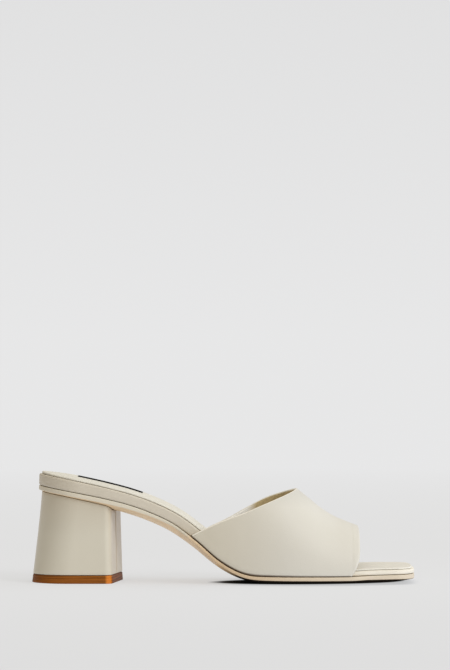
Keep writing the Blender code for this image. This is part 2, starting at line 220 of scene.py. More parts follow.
class StageSettings(bpy.types.PropertyGroup):
    """Camera and lights."""
    distance: number_property("Camera distance", "From the middle of the shoe", 2.340, 0.5, 5.0)
    height: number_property("Camera height", "Above the floor", 0.156, 0.0, 2.0)
    lens: number_property("Lens", "Focal length in millimetres", 198.8, 20.0, 400.0, "NONE")
    key_power: number_property(
        "Key light", "Power of the large light in front of the toe", 76.0, 0.0, 200.0, "POWER")
    top_power: number_property(
        "Top light", "Power of the light overhead", 11.5, 0.0, 200.0, "POWER")
    room_even: colour_property(
        "Even light", "Room light from everywhere", (0.10, 0.06, 0.01), 4.0)
    room_toe: colour_property(
        "Light from the toe", "Room light from the toe's side", (0.57, 0.67, 0.80), 4.0)
    room_front: colour_property(
        "Light from the front", "Room light from the camera's side", (0.195, 0.186, 0.165), 4.0)
    room_behind: colour_property(
        "Light from behind", "Room light from beyond the shoe", (0.50, 0.495, 0.49), 4.0)
    room_above: colour_property(
        "Light from above", "Room light from overhead", (0.445, 0.435, 0.37), 4.0)


# The shoe's own curves


def row_slope(chords, gaps, index):
    """Slope at a row, flat where the column turns, so that the curve never overshoots."""
    if index == 0:
        return chords[0]
    if index == len(chords):
        return chords[-1]
    before, after = chords[index - 1], chords[index]
    if before * after <= 0:
        return 0.0
    mean = (before * gaps[index] + after * gaps[index - 1]) / (gaps[index] + gaps[index - 1])
    limit = 3 * min(abs(before), abs(after))
    return max(-limit, min(limit, mean))


def column_at(table, column, key, at):
    """Value of a column on a smooth curve through the rows, held past both ends."""
    places = [getattr(row, key) for row in table]
    values = [getattr(row, column) for row in table]
    if at <= places[0]:
        return values[0]
    if at >= places[-1]:
        return values[-1]
    index = max(i for i, place in enumerate(places[:-1]) if place <= at)
    gaps = [b - a for a, b in zip(places, places[1:])]
    chords = [(b - a) / gap for a, b, gap in zip(values, values[1:], gaps)]
    gap = gaps[index]
    t = (at - places[index]) / gap
    start_weight = (1 + 2 * t) * (1 - t) ** 2
    end_weight = t * t * (3 - 2 * t)
    bend = (1 - t) * row_slope(chords, gaps, index) - t * row_slope(chords, gaps, index + 1)
    return start_weight * values[index] + end_weight * values[index + 1] + gap * t * (1 - t) * bend


@lru_cache(maxsize=None)
def sole(column, x):
    """Column of the sole's table at a distance from its back."""
    return column_at(SECTIONS, column, "station", x / SOLE_LENGTH)


@lru_cache(maxsize=None)
def seat_height(x):
    """Height of the outsole's top face, which footbed and upper sit on."""
    ball = OUTSOLE_DEPTH * BALL_DEPTH_SHARE
    return ball + sole("rise", x) * HEEL_RISE + sole("spring", x) * TOE_SPRING


@lru_cache(maxsize=None)
def section_tilt(x):
    """Angle by which the section at x leans from upright."""
    step = SOLE_LENGTH / 1000
    slope = (seat_height(x + step) - seat_height(x - step)) / (2 * step)
    return math.atan(slope) * sole("lean", x)


def on_seat(x, y, lift):
    """Point above a place of the sole's plan, along the sole's own upright."""
    tilt = section_tilt(x)
    return Vector((x - math.sin(tilt) * lift, y, seat_height(x) + math.cos(tilt) * lift))


def full_width(x, side, grow):
    """Half width of the sole before its heel and toe corners are rounded off."""
    return sole(side, x) * BALL_WIDTH + grow


def half_width(x, side, grow=0.0):
    """Half width of the footbed's outline, grown or shrunk all round by grow."""
    width = full_width(x, side, grow)
    back_round = HEEL_ROUND + grow
    from_back = max(x + grow, 0.0)
    if from_back < back_round:
        width *= math.sqrt(1 - (1 - from_back / back_round) ** 2)
    corner = TOE_CORNER + grow
    from_front = max(SOLE_LENGTH + grow - x, 0.0)
    if from_front < corner:
        width -= corner - math.sqrt(corner ** 2 - (corner - from_front) ** 2)
    return width


def shelf(x):
    """How far the outsole stands out to carry the upper's wall."""
    back_corner = SOLE_LENGTH - TOE_SHOWING - UPPER_OUTER_LENGTH
    front_corner = SOLE_LENGTH - TOE_SHOWING - FRONT_SETBACK
    entry = (x - back_corner) / SHELF_RUN + 1
    leave = (front_corner - x) / SHELF_RUN + 1
    share = max(0.0, min(1.0, entry, leave))
    return (UPPER_WALL + SEAM) * share * share * (3 - 2 * share)


def outsole_lift(x, across):
    """Height of the outsole's underside below the seat: thickest away from its edges."""
    edge = sole("edge", x) * OUTSOLE_EDGE
    depth = sole("depth", x) * OUTSOLE_DEPTH
    end = max(0.0, 1 - x / HEEL_ROUND, 1 - (SOLE_LENGTH - x) / (2 * TOE_CORNER))
    end = min(1.0, end)
    rim = math.sqrt(end * end + across * across * (1 - end * end))
    return -(edge + (depth - edge) * (1 - rim ** UNDER_ROUND))


def across_at(x, y):
    """Share of the way from the sole's middle to its edge."""
    width = half_width(x, "outer" if y < 0 else "inner")
    return min(1.0, abs(y) / max(width, HEEL_CORNER))


def ridge_height(x):
    """Height of the last's ridge under the band."""
    reach = (SOLE_LENGTH - TOE_SHOWING - x) / THROAT_DEPTH
    rise = column_at(RIDGES, "rise", "reach", reach) * INSTEP_RISE
    return OUTSOLE_DEPTH * BALL_DEPTH_SHARE + rise


def band_foot(x):
    """Height of the band's lower edge, just clear of the outsole."""
    return seat_height(x) + SEAM


def band_point(x, angle, side):
    """Point on the band's outer face: angle runs 0 at the sole to a quarter turn at the ridge."""
    ridge_y = RIDGE_SHIFT * BALL_WIDTH
    reach = sole(side, x) * BALL_WIDTH + SEAM + UPPER_WALL
    reach += ridge_y if side == "outer" else -ridge_y
    power = 2 / ARCH_FULLNESS
    across = reach * max(math.cos(angle), 0.0) ** power
    foot = band_foot(x)
    z = foot + (ridge_height(x) - foot) * math.sin(angle) ** power
    y = ridge_y - across if side == "outer" else ridge_y + across
    return Vector((x, y, z))


@lru_cache(maxsize=None)
def topline(side, reach):
    """Place and arch angle of the topline at a share of the way from the sole to the throat."""
    length = UPPER_OUTER_LENGTH if side == "outer" else UPPER_INNER_LENGTH
    front = SOLE_LENGTH - TOE_SHOWING
    corner = front - length
    throat = front - THROAT_DEPTH
    x = corner + (throat - corner) * reach
    low = band_foot(corner)
    z = low + (ridge_height(throat) - low) * column_at(CLIMBS, side, "reach", reach)
    foot = band_foot(x)
    climb = max(0.0, min(1.0, (z - foot) / (ridge_height(x) - foot)))
    return x, math.asin(min(1.0, climb ** (ARCH_FULLNESS / 2)))


def upper_point(girth, along):
    """Point of the band: girth 0 outer foot, 1 inner foot; along 0 topline, 1 toe opening."""
    side = "outer" if girth < 0.5 else "inner"
    share = 1 - abs(2 * girth - 1)
    back, angle = topline(side, math.sin(share * math.pi / 2))
    front = SOLE_LENGTH - TOE_SHOWING - FRONT_SETBACK * (1 - math.sin(angle)) ** FRONT_SWEEP
    return band_point(back + (front - back) * along, angle, side)


# Making of pieces

QUARTER_STEPS = [math.pi / 2 * step / 4 for step in range(1, 5)]
SOLE_ROWS = 170
SOCK_ROWS = 190
TOE_BOW_SWEEP = 1.5
TOE_BOW_REACH = 3 * TOE_CORNER
HEEL_ROWS_SHARE = 0.14
TOE_ROWS_SHARE = 0.10
# Down the rolled side: shares where the outsole and the footbed have a row
OUTSOLE_SIDE = (0.5,)
FOOTBED_SIDE = (0.35, 0.65)
OUTSOLE_GLOSS = 0.35
SOCK_GAP = 0.0002
SOCK_TUCK = 0.0003
SOCK_TURN = 0.75
PATCH_BACK = -0.0925
PATCH_MIDDLE = 0.0
PATCH_STANDS = 0.00012
PATCH_SUNK = 0.0002
PATCH_RIM = ((0.00006, 0.0, -0.00002), (0.0001, 0.0, -0.00008), (0.0001, 1.0, 0.0),
             (0.0, 1.0, 0.0))


def new_object(name, data):
    """Object linked to the scene."""
    made = bpy.data.objects.new(name, data)
    bpy.context.scene.collection.objects.link(made)
    return made


def finish_piece(name, shape, materials, nodes, sharp=50):
    """Object of one piece in the frame, which stands for its solids and rides on the shoe."""
    for vertex in shape.verts:
        vertex.co += Vector((SOLE_BACK, SOLE_MIDDLE, 0.0))
    bmesh.ops.remove_doubles(shape, verts=shape.verts, dist=WELD)
    bmesh.ops.dissolve_degenerate(shape, edges=shape.edges, dist=WELD / 10)
    bmesh.ops.recalc_face_normals(shape, faces=shape.faces)
    mesh = bpy.data.meshes.new(name)
    shape.to_mesh(mesh)
    shape.free()
    for material in materials:
        mesh.materials.append(material)
    mesh.shade_smooth()
    mesh.set_sharp_from_angle(angle=math.radians(sharp))
    piece = new_object(name, mesh)
    if nodes:
        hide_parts(*nodes)
    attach(piece, "root")
    return piece


def outward(vertex):
    """Direction in plan away from the sheet at a vertex of its rim."""
    total = Vector((0.0, 0.0, 0.0))
    for edge in vertex.link_edges:
        if not edge.is_boundary:
            continue
        run = edge.verts[1].co - edge.verts[0].co
        normal = Vector((run.y, -run.x, 0.0))
        inside = edge.link_faces[0].calc_center_median() - edge.verts[0].co
        if normal.dot(inside) > 0:
            normal.negate()
        total += normal.normalized()
    return total.normalized()


def rolled_over(radius):
    """Rim steps over a rounded top edge."""
    return [(radius * math.sin(a), 0.0, -radius * (1 - math.cos(a))) for a in QUARTER_STEPS]


def rolled(radius, downs):
    """Rim steps over a rounded top edge, down the side and in under a rounded lower edge."""
    under = [(radius * math.cos(a), 1.0, radius * (1 - math.sin(a))) for a in QUARTER_STEPS]
    sides = [(radius, down, 0.0) for down in downs]
    return rolled_over(radius) + sides + [(radius, 1.0, radius)] + under


def slab(plan, top, bottom, rim, columns, rows):
    """Closed layer: a sheet over plan, a rim led round its edge and a sheet below.

    Each rim step is how far out it lies, its share of the way down, and a further lift.
    The layer "side" says how high a place lies, from 0 at the bottom to 1 at the top.
    """
    shape = bmesh.new()
    lift = shape.verts.layers.float.new("lift")
    side = shape.verts.layers.float.new("side")

    def lay_sheet(height, share):
        made = bmesh.ops.create_grid(shape, x_segments=columns, y_segments=rows, size=1.0)
        for vertex in made["verts"]:
            x, y = plan(vertex.co.x, (vertex.co.y + 1) / 2)
            vertex.co = (x, y, 0.0)
            vertex[lift] = height(x, y)
            vertex[side] = share

    lay_sheet(top, 1.0)
    edges = [edge for edge in shape.edges if edge.is_boundary]
    starts = {v: (v.co.copy(), outward(v)) for edge in edges for v in edge.verts}
    for out, down, drop in rim:
        made = bmesh.ops.extrude_edge_only(shape, edges=edges)["geom"]
        edges = [g for g in made if isinstance(g, bmesh.types.BMEdge) and g.is_boundary]
        following = {}
        for vertex in [g for g in made if isinstance(g, bmesh.types.BMVert)]:
            near = min((e.other_vert(vertex) for e in vertex.link_edges
                        if e.other_vert(vertex) in starts),
                       key=lambda v: (v.co - vertex.co).length)
            base, direction = following[vertex] = starts[near]
            vertex.co = base + direction * out
            high, low = top(base.x, base.y), bottom(base.x, base.y)
            vertex[lift] = high + (low - high) * down + drop
            vertex[side] = (vertex[lift] - low) / (high - low)
        starts = following
    lay_sheet(bottom, 0.0)
    for vertex in shape.verts:
        vertex.co = on_seat(vertex.co.x, vertex.co.y, vertex[lift])
    return shape


def sole_plan(grow, extra=None):
    """Plan of the sole grown by grow, as a function of a place across and along it."""
    start, end = HEEL_ROUND, SOLE_LENGTH - TOE_CORNER

    def plan(u, v):
        p = u
        if v < HEEL_ROWS_SHARE:
            q = v / HEEL_ROWS_SHARE - 1
            p = u * math.sqrt(1 - q * q / 2)
            x = start + (HEEL_ROUND + grow) * q * math.sqrt(1 - u * u / 2)
        elif v > 1 - TOE_ROWS_SHARE:
            turn = (v - 1 + TOE_ROWS_SHARE) / TOE_ROWS_SHARE * math.pi / 2
            x = end + (TOE_CORNER + grow) * math.sin(turn)
        else:
            share = (v - HEEL_ROWS_SHARE) / (1 - HEEL_ROWS_SHARE - TOE_ROWS_SHARE)
            x = start + (end - start) * share
        more = grow + (extra(x) if extra else 0.0)
        side = "outer" if u < 0 else "inner"
        full = full_width(x, side, more)
        y = u * half_width(x, side, more) if x > end else p * full
        near_toe = max(0.0, 1 - (SOLE_LENGTH - x) / TOE_BOW_REACH)
        return x - TOE_BOW * TOE_BOW_SWEEP * (y / full) ** 2 * near_toe, y
    return plan


class FinishOperator:
    """What every operator here shares."""
    bl_options = {"REGISTER", "UNDO"}


class SANDAL_OT_outsole(FinishOperator, bpy.types.Operator):
    """Outsole with a painted edge and a crowned tan underside"""
    bl_idname = "sandal.outsole"
    bl_label = "Outsole"

    def execute(self, context):
        radius = context.scene.sandal_sizes.outsole_roll
        shape = slab(sole_plan(-radius, shelf), lambda x, y: 0.0,
                     lambda x, y: outsole_lift(x, across_at(x, y)), rolled(radius, OUTSOLE_SIDE),
                     columns=36, rows=SOLE_ROWS)
        side = shape.verts.layers.float["side"]
        for vertex in shape.verts:
            vertex.co.z = max(vertex.co.z, 0.0)
        # Underside faces ahead of the waist carry the painted contact shadow and get a copy of the
        # finish without gloss
        for face in shape.faces:
            under = max(vertex[side] for vertex in face.verts) < CONTACT_SHADOW_RIM_SPAN[1]
            ahead = face.calc_center_median().x + SOLE_BACK > CONTACT_SHADOW_SPAN[0]
            face.material_index = int(under and ahead)
        finishes = [outsole_leather(context, "tan_outsole_finish", OUTSOLE_GLOSS),
                    outsole_leather(context, "outsole_tread_finish", 0.0)]
        finish_piece("outsole_finished", shape, finishes, ["outsole"])
        return {"FINISHED"}


def board_lift(x):
    """Height of the footbed's top above the seat."""
    return SEAM + sole("board", x) * FOOTBED_DEPTH


class SANDAL_OT_footbed(FinishOperator, bpy.types.Operator):
    """Footbed board wrapped in grained leather"""
    bl_idname = "sandal.footbed"
    bl_label = "Footbed"

    def execute(self, context):
        radius = context.scene.sandal_sizes.board_roll
        shape = slab(sole_plan(-radius), lambda x, y: board_lift(x), lambda x, y: SEAM,
                     rolled(radius, FOOTBED_SIDE), columns=24, rows=SOLE_ROWS)
        finish_piece("footbed_wrapped", shape, [footbed_leather(context)], ["footbed"])
        return {"FINISHED"}


def sock_top(x, y):
    """Lift of the padded sock's top face."""
    from_end = min(x - SOCK_INSET, SOLE_LENGTH - SOCK_INSET - x)
    fullness = max(0.0, min(1.0, DOME_AT_ENDS + from_end / HEEL_ROUND))
    dome = sole("dome", x) * SOCK_DOME * fullness
    return board_lift(x) + SEAM + SOCK_EDGE + dome * (1 - across_at(x, y) ** 2)


class SANDAL_OT_sock(FinishOperator, bpy.types.Operator):
    """Padded sock, domed and turned under at its edge"""
    bl_idname = "sandal.sock"
    bl_label = "Padded sock"

    def execute(self, context):
        radius = context.scene.sandal_sizes.sock_roll
        rim = rolled_over(radius) + [(radius, SOCK_TURN, 0.0), (radius - SOCK_TUCK, 1.0, 0.0),
                                     (0.0, 1.0, 0.0)]
        shape = slab(sole_plan(-SOCK_INSET - radius), sock_top,
                     lambda x, y: board_lift(x) + SOCK_GAP, rim, columns=48, rows=SOCK_ROWS)
        piece = finish_piece("sock_padded", shape, [sock_leather(context)], ["insole_sock"])
        return {"FINISHED"}


class SANDAL_OT_patch(FinishOperator, bpy.types.Operator):
    """Blank patch pressed into the sock under the heel"""
    bl_idname = "sandal.patch"
    bl_label = "Blank patch"

    def execute(self, context):
        sizes = context.scene.sandal_sizes

        def plan(u, v):
            return (PATCH_BACK - SOLE_BACK + sizes.patch_length * v,
                    PATCH_MIDDLE - SOLE_MIDDLE + sizes.patch_width / 2 * u)

        shape = slab(plan, lambda x, y: sock_top(x, y) + PATCH_STANDS,
                     lambda x, y: sock_top(x, y) - PATCH_SUNK, PATCH_RIM, columns=20, rows=60)
        finish_piece("sock_patch", shape, [patch_foil(context)], [])
        return {"FINISHED"}


UPPER_COLUMNS = 220
UPPER_FACE_ROWS = 90
RIM_ROWS = 8
BAND_LOOP = 2 * (UPPER_FACE_ROWS + RIM_ROWS)
LINING_FOLD_ROWS = 2
ROW_EASE = 0.12
HALF_WALL = UPPER_WALL / 2
# Small steps that the band's normals and its edges' directions are read over
FRAME_STEP = 0.0015
EDGE_STEP = 0.002
SLANT_LIMIT = 0.3
# The band's foot: where its columns next to the sole lie, and how far it turns in
FOOT_COLUMNS = {1: 0.35, 2: 1.2}
FOOT_TUCK = 0.0006
WAIST_TUCK = 0.0010
FOOT_TUCK_SPAN = (0.0, 0.04)
# The hem along the toe opening and the rounded topline
HEM_STEP = 0.0010
GROOVE_PLACE = 0.0004
GROOVE_WIDTH = 0.0005
GROOVE_SHARE = 0.6
TOPLINE_WIDTH = 0.0016


def smooth(share):
    """Smooth step from 0 to 1."""
    share = max(0.0, min(1.0, share))
    return share * share * (3 - 2 * share)


def run_round(girth, along, step):
    """Direction round the foot at a place of the band."""
    before, after = max(0.0, girth - step), min(1.0, girth + step)
    return (upper_point(after, along) - upper_point(before, along)).normalized()


def upper_frame(girth, along):
    """Point of the band's outer face, its outward normal and its run towards the toe."""
    before, after = max(0.0, along - FRAME_STEP), min(1.0, along + FRAME_STEP)
    forward = (upper_point(girth, after) - upper_point(girth, before)).normalized()
    normal = forward.cross(run_round(girth, along, FRAME_STEP)).normalized()
    return upper_point(girth, along), normal, forward


class SANDAL_OT_upper(FinishOperator, bpy.types.Operator):
    """Band over the instep, with folded edges, a hem along the toe opening and a lining"""
    bl_idname = "sandal.upper"
    bl_label = "Upper"

    def execute(self, context):
        shape = band_shell(context.scene.sandal_sizes)
        finish_piece("upper_band", shape, [upper_leather(context), lining_leather(context)],
                     ["upper"], sharp=70)
        return {"FINISHED"}


def band_shell(sizes):
    """The band as one closed shell: outer face, front fold, lining and topline fold."""
    shape = bmesh.new()
    columns = UPPER_COLUMNS + 2
    bmesh.ops.create_grid(shape, x_segments=columns, y_segments=BAND_LOOP, size=1.0)
    for face in shape.faces:
        row = (face.calc_center_median().y + 1) / 2 * BAND_LOOP
        after_hem = row > UPPER_FACE_ROWS + RIM_ROWS + 1
        face.material_index = int(after_hem and row < BAND_LOOP - RIM_ROWS + LINING_FOLD_ROWS)
    # The foot layer marks the columns next to the sole, where a shadow line is painted
    foot = shape.verts.layers.float.new("foot")
    # The fold layer marks the topline fold's rows, which get a painted highlight
    fold_highlight = shape.verts.layers.float.new("fold")
    tracks = [band_track(column_girth(column), sizes) for column in range(UPPER_COLUMNS + 1)]
    for vertex in shape.verts:
        column = round((vertex.co.x + 1) / 2 * columns) - 1
        row = round((vertex.co.y + 1) / 2 * BAND_LOOP) % BAND_LOOP
        vertex[foot] = float(min(column, UPPER_COLUMNS - column) <= 1)
        vertex[fold_highlight] = float(row > BAND_LOOP - RIM_ROWS + LINING_FOLD_ROWS)
        track = tracks[max(0, min(UPPER_COLUMNS, column))]
        vertex.co = track[row]
        if not 0 <= column <= UPPER_COLUMNS:
            across = (2 * UPPER_FACE_ROWS + RIM_ROWS - row) % BAND_LOOP
            vertex.co = (track[row] + track[across]) / 2
    return shape


def column_girth(column):
    """Girth of a column: the two next to each foot lie closer to it."""
    from_foot = min(column, UPPER_COLUMNS - column)
    from_foot = FOOT_COLUMNS.get(from_foot, from_foot)
    return (from_foot if column < UPPER_COLUMNS / 2 else UPPER_COLUMNS - from_foot) / UPPER_COLUMNS


def tuck(x, girth):
    """How far the band's foot is turned in over the outsole, most at its back."""
    from_foot = min(girth, 1 - girth) * UPPER_COLUMNS
    start, end = FOOT_TUCK_SPAN
    waist = smooth((end - x - SOLE_BACK) / (end - start))
    depth = FOOT_TUCK + (WAIST_TUCK - FOOT_TUCK) * waist
    return depth * max(0.0, 1 - from_foot / FOOT_COLUMNS[2]) ** 2


def band_track(girth, sizes):
    """Loop of points round the band's wall at one girth: out, over the front fold and back."""
    top, _, top_run = upper_frame(girth, 0.0)
    toe, _, toe_run = upper_frame(girth, 1.0)
    length = (toe - top).length
    top_edge, toe_edge = (run_round(girth, along, EDGE_STEP) for along in (0.0, 1.0))
    first = HALF_WALL / max(SLANT_LIMIT, top_run.cross(top_edge).length) / length
    last = 1 - HALF_WALL / max(SLANT_LIMIT, toe_run.cross(toe_edge).length) / length
    rows = []
    for row in range(UPPER_FACE_ROWS + 1):
        along = first + (last - first) * ease(row / UPPER_FACE_ROWS)
        rows.append((along, *upper_frame(girth, along)))
    outer = [point + normal * (swell(point.x, along * length, sizes) - tuck(point.x, girth))
             for along, point, normal, _ in rows]
    inner = [point - normal * UPPER_WALL for _, point, normal, _ in rows]
    front = fold(outer[-1], inner[-1], toe_edge, rows[-1][2], rows[-1][3])
    back = fold(inner[0], outer[0], top_edge, rows[0][2], -rows[0][3])
    return outer + front + inner[::-1] + back


def ease(share):
    """Rows drawn a little closer towards both edges."""
    return share - ROW_EASE * math.sin(2 * math.pi * share) / math.pi


def swell(x, from_top, sizes):
    """How far the leather stands out where it is folded under along its edges."""
    past_hem = SOLE_LENGTH - TOE_SHOWING - x - sizes.hem_width
    hem = smooth(0.5 - past_hem / HEM_STEP)
    groove = math.exp(-((past_hem - GROOVE_PLACE) / GROOVE_WIDTH) ** 2)
    rim = math.exp(-(from_top / TOPLINE_WIDTH) ** 2)
    return sizes.hem_swell * (hem - GROOVE_SHARE * groove + rim)


def fold(start, end, edge, normal, outward_run):
    """Points round a folded edge from one face to the other."""
    middle = (start + end) / 2
    reach = outward_run - edge * outward_run.dot(edge)
    reach -= normal * reach.dot(normal)
    reach = reach.normalized() * HALF_WALL
    turns = [math.pi * step / RIM_ROWS for step in range(1, RIM_ROWS)]
    return [middle + (start - middle) * math.cos(a) + reach * math.sin(a) for a in turns]


HEEL_BACK_STEPS = 56
HEEL_SIDE_STEPS = 10
HEEL_CORNER_STEPS = 8
HEEL_ROLL = 0.0005
HEEL_ROLL_STEPS = 4
HEEL_LEVELS = 24
# Shares of the heel's width where its foot and its seat have a ring, and the lift's faces one
HEEL_FOOT_RINGS = (0.0, 0.5, 0.9)
HEEL_SEAT_RINGS = (0.9, 0.7, 0.5, 0.3, 0.1, 0.0)
LIFT_FACE_RING = 0.6
SEARCH_ROUNDS = 4
# The seam down the breast: where it lies, its dip's width and the lap beside it
BREAST_SEAM_Y = -0.0020
BREAST_SEAM_WIDTH = 0.00045
BREAST_LAP_SHARE = 0.3
BREAST_LAP_PLACE = 0.0009
BREAST_LAP_WIDTH = 0.0006
BREAST_HALF = (0.006, 0.012, 0.018, 0.025, 0.035, 0.045, 0.055, 0.07, 0.09, 0.13, 0.2, 0.3, 0.4,
               0.6, 0.8)
BREAST_PLACES = (*[-place for place in reversed(BREAST_HALF)], 0.0, *BREAST_HALF)
# The lift's side, as shares of its height and how far it is drawn in there
LIFT_GROOVES = (0.34, 0.67)
LIFT_FOOT = ((0.0, 0.0004), (0.02, 0.0002), (0.05, 0.00008), (0.08, 0.0))
LIFT_GROOVE = ((-0.02, 0.0), (-0.007, 0.00006), (0.0, 0.00012), (0.007, 0.00006), (0.02, 0.0),
               (0.16, 0.0))
LIFT_HEAD = ((0.93, 0.0), (0.97, 0.00006), (0.99, 0.00015), (1.0, 0.0003))


class SANDAL_OT_heel(FinishOperator, bpy.types.Operator):
    """Leather-covered heel block, seamed down its breast"""
    bl_idname = "sandal.heel"
    bl_label = "Heel block"

    def execute(self, context):
        finish_piece("heel_covered", heel_shell(context.scene.sandal_sizes),
                     [heel_leather(context)], ["heel_block"], sharp=60)
        return {"FINISHED"}


class SANDAL_OT_lift(FinishOperator, bpy.types.Operator):
    """Stacked top lift under the heel"""
    bl_idname = "sandal.lift"
    bl_label = "Top lift"

    def execute(self, context):
        finish_piece("top_lift_stacked", lift_shell(), [stacked_leather(context)],
                     ["heel_top_lift"], sharp=60)
        return {"FINISHED"}


def arc(x, y, along, across, start, turn, steps):
    """Points of an arc round a middle, from an angle on through a turn."""
    angles = [start + turn * step / steps for step in range(steps + 1)]
    return [(x + along * math.cos(a), y + across * math.sin(a)) for a in angles]


def heel_outline(width, back, breast, swing, seam=0.0):
    """Outline of the heel: round back, straight sides, breast swung to the outer side."""
    half = width / 2
    middle = back + HEEL_BACK_ROUND
    centre = breast - HEEL_CORNER
    flat = half - HEEL_CORNER
    side = [middle + (centre - middle) * step / HEEL_SIDE_STEPS
            for step in range(1, HEEL_SIDE_STEPS)]
    corner = (HEEL_CORNER, HEEL_CORNER)
    outline = arc(middle, 0.0, HEEL_BACK_ROUND, half, math.pi / 2, math.pi, HEEL_BACK_STEPS)
    outline += [(x, -half) for x in side]
    outline += arc(centre, -flat, *corner, -math.pi / 2, math.pi / 2, HEEL_CORNER_STEPS)
    for place in BREAST_PLACES:
        off = place * (flat + (BREAST_SEAM_Y if place < 0 else -BREAST_SEAM_Y))
        dip = math.exp(-(off / BREAST_SEAM_WIDTH) ** 2)
        lap = BREAST_LAP_SHARE * math.exp(-((off - BREAST_LAP_PLACE) / BREAST_LAP_WIDTH) ** 2)
        outline.append((breast + seam * (lap - dip), BREAST_SEAM_Y + off))
    outline += arc(centre, flat, *corner, 0.0, math.pi / 2, HEEL_CORNER_STEPS)
    outline += [(x, half) for x in reversed(side)]
    shares = [max(0.0, (x - middle) / (breast - middle)) for x, _ in outline]
    return [(x + y * math.tan(swing) * share, y) for (x, y), share in zip(outline, shares)]


def under_outsole(x, y):
    """Height of the outsole's underside above a place on the floor."""
    station = x
    for _ in range(SEARCH_ROUNDS):
        side = "outer" if y < 0 else "inner"
        across = min(1.0, abs(y) / half_width(station, side))
        lift = outsole_lift(station, across)
        station = x + math.sin(section_tilt(station)) * lift
    return seat_height(station) + math.cos(section_tilt(station)) * lift


def ring_shell(rings):
    """Closed shell through rings of equal count, closed to a point at both ends."""
    count = len(rings[0])
    shape = bmesh.new()
    bmesh.ops.create_grid(shape, x_segments=count, y_segments=len(rings) - 1, size=1.0)
    for vertex in shape.verts:
        column = round((vertex.co.x + 1) / 2 * count) % count
        row = round((vertex.co.y + 1) / 2 * (len(rings) - 1))
        vertex.co = rings[row][column]
    return shape


def shrunk(ring, share):
    """Ring drawn in towards its middle."""
    middle = sum(ring, Vector((0.0, 0.0, 0.0))) / len(ring)
    return [middle + (point - middle) * share for point in ring]


def inset_outline(outline, inset):
    """Outline drawn in by a distance, square to itself."""
    drawn = []
    for before, (x, y), after in zip(outline[-1:] + outline, outline, outline[1:] + outline[:1]):
        run = Vector((after[0] - before[0], after[1] - before[1]))
        normal = Vector((-run.y, run.x)).normalized()
        drawn.append((x + normal.x * inset, y + normal.y * inset))
    return drawn


def heel_shell(sizes):
    """Heel block from its foot up, turned in under the outsole."""
    seam = sizes.breast_seam
    foot = heel_outline(HEEL_FOOT_WIDTH, HEEL_BACK_INSET - HEEL_FLARE,
                        HEEL_BREAST + HEEL_BREAST_FLARE, HEEL_FOOT_SWING, seam)
    seat = heel_outline(HEEL_TOP_WIDTH, HEEL_BACK_INSET, HEEL_BREAST, HEEL_SEAT_SWING, seam)
    tops = [under_outsole(x, y) - SEAM for x, y in seat]
    low = LIFT_HEIGHT + SEAM
    base = [Vector((x, y, low)) for x, y in inset_outline(foot, HEEL_ROLL)]
    rings = [shrunk(base, share) for share in HEEL_FOOT_RINGS]
    turned = []
    for step in range(HEEL_ROLL_STEPS):
        angle = math.pi / 2 * step / HEEL_ROLL_STEPS
        turned.append((HEEL_ROLL * (1 - math.cos(angle)), HEEL_ROLL * (1 - math.sin(angle))))
    for rise, inset in turned:
        rings.append([Vector((x, y, low + rise)) for x, y in inset_outline(foot, inset)])
    for level in range(HEEL_LEVELS + 1):
        ring = []
        for (foot_x, foot_y), (seat_x, seat_y), top in zip(foot, seat, tops):
            start, end = low + HEEL_ROLL, top - HEEL_ROLL
            height = start + (end - start) * level / HEEL_LEVELS
            curve = 1 - (1 - (height - low) / (top - low)) ** HEEL_HOLLOW
            ring.append(Vector((foot_x + (seat_x - foot_x) * curve,
                                foot_y + (seat_y - foot_y) * curve, height)))
        rings.append(ring)
    for rise, inset in reversed(turned):
        rings.append([Vector((x, y, min(top, under_outsole(x, y) - SEAM) - rise))
                      for (x, y), top in zip(inset_outline(seat, inset), tops)])
    middle = HEEL_BREAST / 2
    for share in HEEL_SEAT_RINGS:
        places = [(middle + (x - middle) * share, y * share)
                  for x, y in inset_outline(seat, HEEL_ROLL)]
        rings.append([Vector((x, y, under_outsole(x, y) - SEAM)) for x, y in places])
    return ring_shell(rings)


def lift_shell():
    """Top lift, with a fine groove between its layers."""
    back = HEEL_BACK_INSET - HEEL_FLARE
    breast = HEEL_BREAST + HEEL_BREAST_FLARE
    high = heel_outline(HEEL_FOOT_WIDTH, back, breast, HEEL_FOOT_SWING)
    low = heel_outline(HEEL_FOOT_WIDTH + LIFT_FLARE, back - LIFT_FLARE, breast + LIFT_FLARE / 2,
                       HEEL_FOOT_SWING)
    grooves = [(groove + off, inset) for groove in LIFT_GROOVES for off, inset in LIFT_GROOVE]
    rings = []
    for share, inset in (*LIFT_FOOT, *grooves, *LIFT_HEAD):
        start = [Vector((x, y, 0.0)) for x, y in inset_outline(low, inset)]
        end = [Vector((x, y, LIFT_HEIGHT)) for x, y in inset_outline(high, inset)]
        rings.append([a + (b - a) * share for a, b in zip(start, end)])
    foot = [shrunk(rings[0], share) for share in (0.0, LIFT_FACE_RING)]
    head = [shrunk(rings[-1], share) for share in (LIFT_FACE_RING, 0.0)]
    return ring_shell(foot + rings + head)


# Finishes

# Where tones change along the shoe: most of them painted light, shade, shadow or highlight
TOE_LIGHT_SPAN = (0.05, 0.09)
